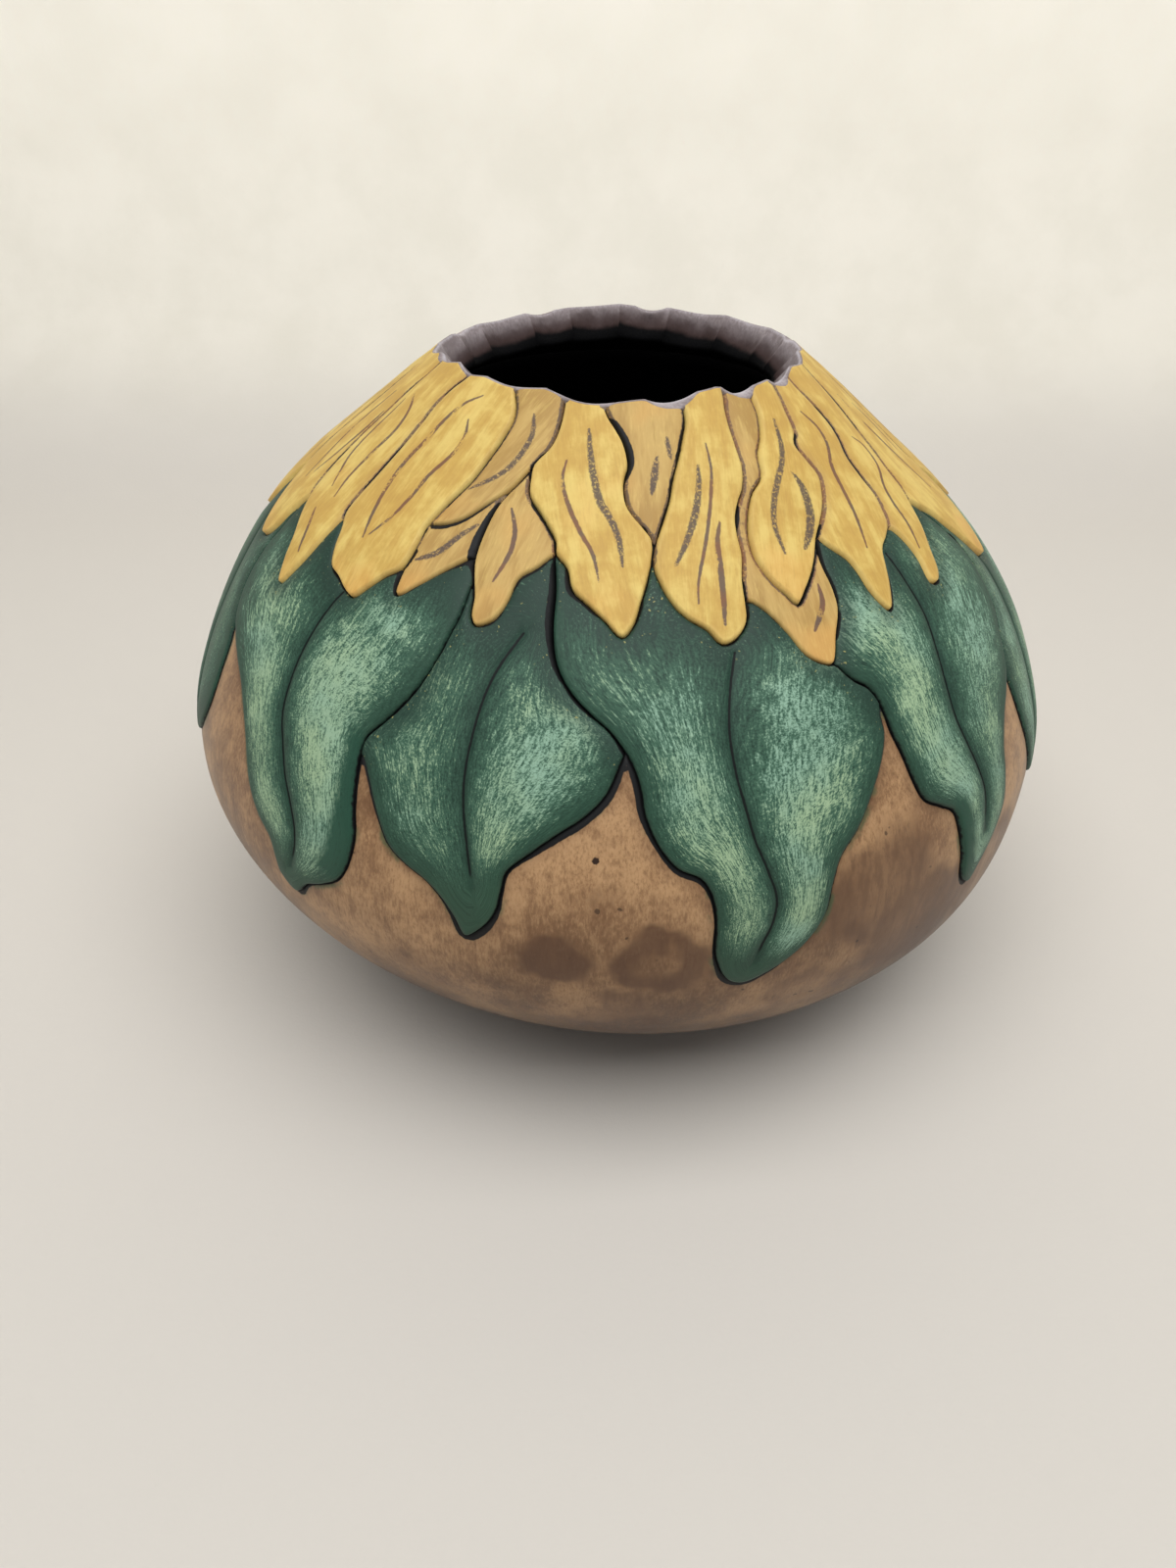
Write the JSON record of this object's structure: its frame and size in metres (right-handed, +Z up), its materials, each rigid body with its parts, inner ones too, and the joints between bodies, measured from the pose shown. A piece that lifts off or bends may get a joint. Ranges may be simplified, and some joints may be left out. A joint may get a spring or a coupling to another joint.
{
  "type": "carved gourd",
  "caption": "Round hard-shelled gourd bowl with a narrow gouged mouth, and relief-carved petals round it over a ring of carved leaves.",
  "frame": {"origin": "middle of the flat foot, on the surface that the gourd stands on", "axes": "+Z up along the gourd's axis, out of the mouth; -Y towards the front shown in the picture"},
  "size_m": [0.1792, 0.1792, 0.1273],
  "materials": {
    "gourd_skin": "dried gourd skin, satin wax, mottled brown with ring-shaped mould marks",
    "leaf_green": "matte green paint over carved shell, pale dry-brushed streaks, burnt outlines",
    "petal_yellow": "matte yellow paint over carved shell, ochre tips, mauve brush lines",
    "petal_ochre": "matte ochre paint over carved shell, mauve stippled lines",
    "rim_stain": "gouged facets, purple-grey brown stain, dull",
    "inner_black": "matte black coat"
  },
  "bodies": {
    "root": {"carved_rim": "rim_stain", "inner_coat": "inner_black", "leaf_01": "leaf_green", "leaf_02": "leaf_green", "leaf_03": "leaf_green", "leaf_04": "leaf_green", "leaf_05": "leaf_green", "leaf_06": "leaf_green", "leaf_07": "leaf_green", "leaf_08": "leaf_green", "leaf_09": "leaf_green", "leaf_10": "leaf_green", "leaf_11": "leaf_green", "leaf_12": "leaf_green", "lower_shell": "gourd_skin", "petal_01": "petal_yellow", "petal_02": "petal_yellow", "petal_03": "petal_yellow", "petal_04": "petal_ochre", "petal_05": "petal_ochre", "petal_06": "petal_ochre", "petal_07": "petal_yellow", "petal_08": "petal_ochre", "petal_09": "petal_yellow", "petal_10": "petal_ochre", "petal_11": "petal_yellow", "petal_12": "petal_yellow", "petal_13": "petal_yellow", "petal_14": "petal_yellow", "petal_15": "petal_yellow", "petal_16": "petal_yellow", "petal_17": "petal_yellow", "petal_18": "petal_yellow", "petal_19": "petal_ochre", "petal_20": "petal_ochre", "petal_21": "petal_ochre", "petal_22": "petal_yellow", "petal_23": "petal_ochre", "petal_24": "petal_yellow", "petal_25": "petal_ochre", "petal_26": "petal_yellow", "petal_27": "petal_yellow", "petal_28": "petal_yellow", "petal_29": "petal_yellow", "petal_30": "petal_yellow", "upper_shell": "gourd_skin"}
  },
  "joints": []
}
